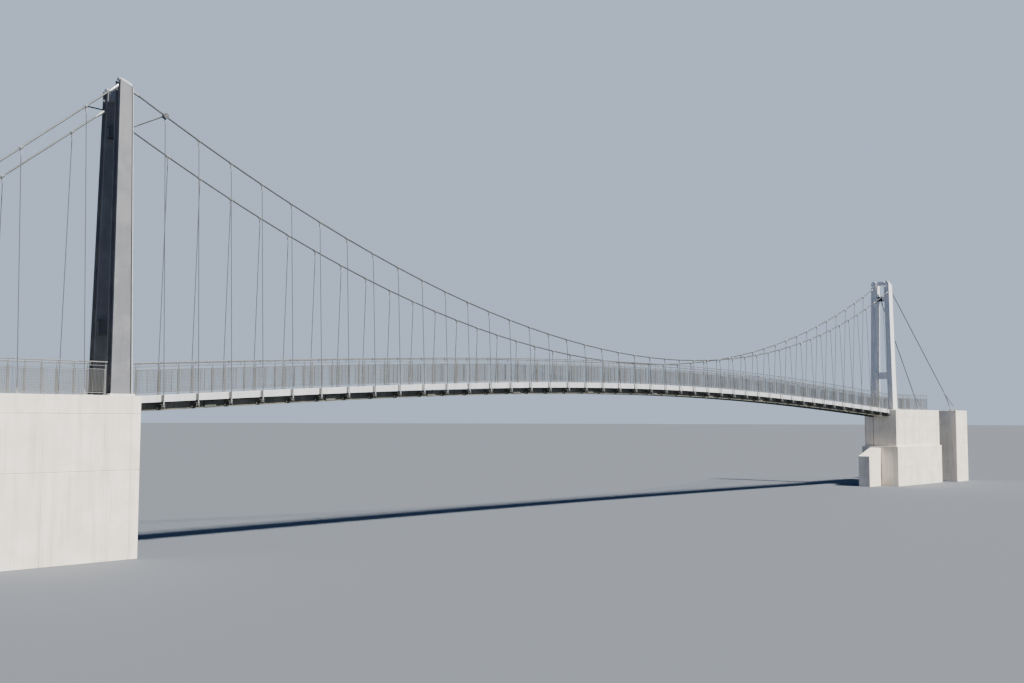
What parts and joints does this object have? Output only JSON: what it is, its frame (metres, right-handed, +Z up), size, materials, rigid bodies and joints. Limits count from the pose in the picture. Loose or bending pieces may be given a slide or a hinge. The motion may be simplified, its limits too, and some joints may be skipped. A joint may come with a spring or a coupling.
{
  "type": "suspension footbridge, 1:10 scale model",
  "caption": "Narrow suspension footbridge with slender portal towers, sagging main cables with rod hangers, cambered deck with railings, concrete pier, abutment and anchor blocks.",
  "frame": {"origin": "centre of the bounding box at foot level, below the span", "axes": "+X along the bridge from the taller tower to the lower one, +Z up, -Y the near side"},
  "size_m": [8.7888, 0.38, 1.7171],
  "materials": {
    "tower_paint": "weathered matt grey paint",
    "light_steel": "satin light grey",
    "girder_steel": "dull dark grey",
    "cable_steel": "dull galvanised strand",
    "galvanised": "dull galvanised",
    "concrete": "cast concrete with board joints",
    "deck_surface": "gritted walking surface"
  },
  "bodies": {
    "root": {"left_abutment": "concrete", "right_pier": "concrete", "right_footing": "concrete", "right_pier_buttress": "concrete", "left_anchor_block": "concrete", "right_anchor_block": "concrete", "left_tower_leg_near": "tower_paint", "left_base_plate_near": "light_steel", "left_leg_cover_near": "light_steel", "left_backstay_near": "cable_steel", "left_approach_railing_near": "galvanised", "left_tower_leg_far": "tower_paint", "left_base_plate_far": "light_steel", "left_leg_cover_far": "light_steel", "left_backstay_far": "cable_steel", "left_approach_railing_far": "galvanised", "left_tower_lower_beam": "tower_paint", "left_tower_upper_beam": "tower_paint", "left_tower_head_beam": "tower_paint", "right_tower_leg_near": "tower_paint", "right_base_plate_near": "light_steel", "right_leg_cover_near": "light_steel", "right_backstay_near": "cable_steel", "right_approach_railing_near": "galvanised", "right_tower_leg_far": "tower_paint", "right_base_plate_far": "light_steel", "right_leg_cover_far": "light_steel", "right_backstay_far": "cable_steel", "right_approach_railing_far": "galvanised", "right_tower_lower_beam": "tower_paint", "right_tower_upper_beam": "tower_paint", "right_tower_head_beam": "tower_paint", "deck_slab": "deck_surface", "deck_fascia_near": "light_steel", "deck_fascia_far": "light_steel", "deck_frame": "girder_steel", "span_railing_near": "galvanised", "span_railing_far": "galvanised", "main_cable_near": "cable_steel", "main_cable_far": "cable_steel", "left_head_tie_back": "cable_steel", "left_head_tie_front": "cable_steel"}
  },
  "joints": []
}
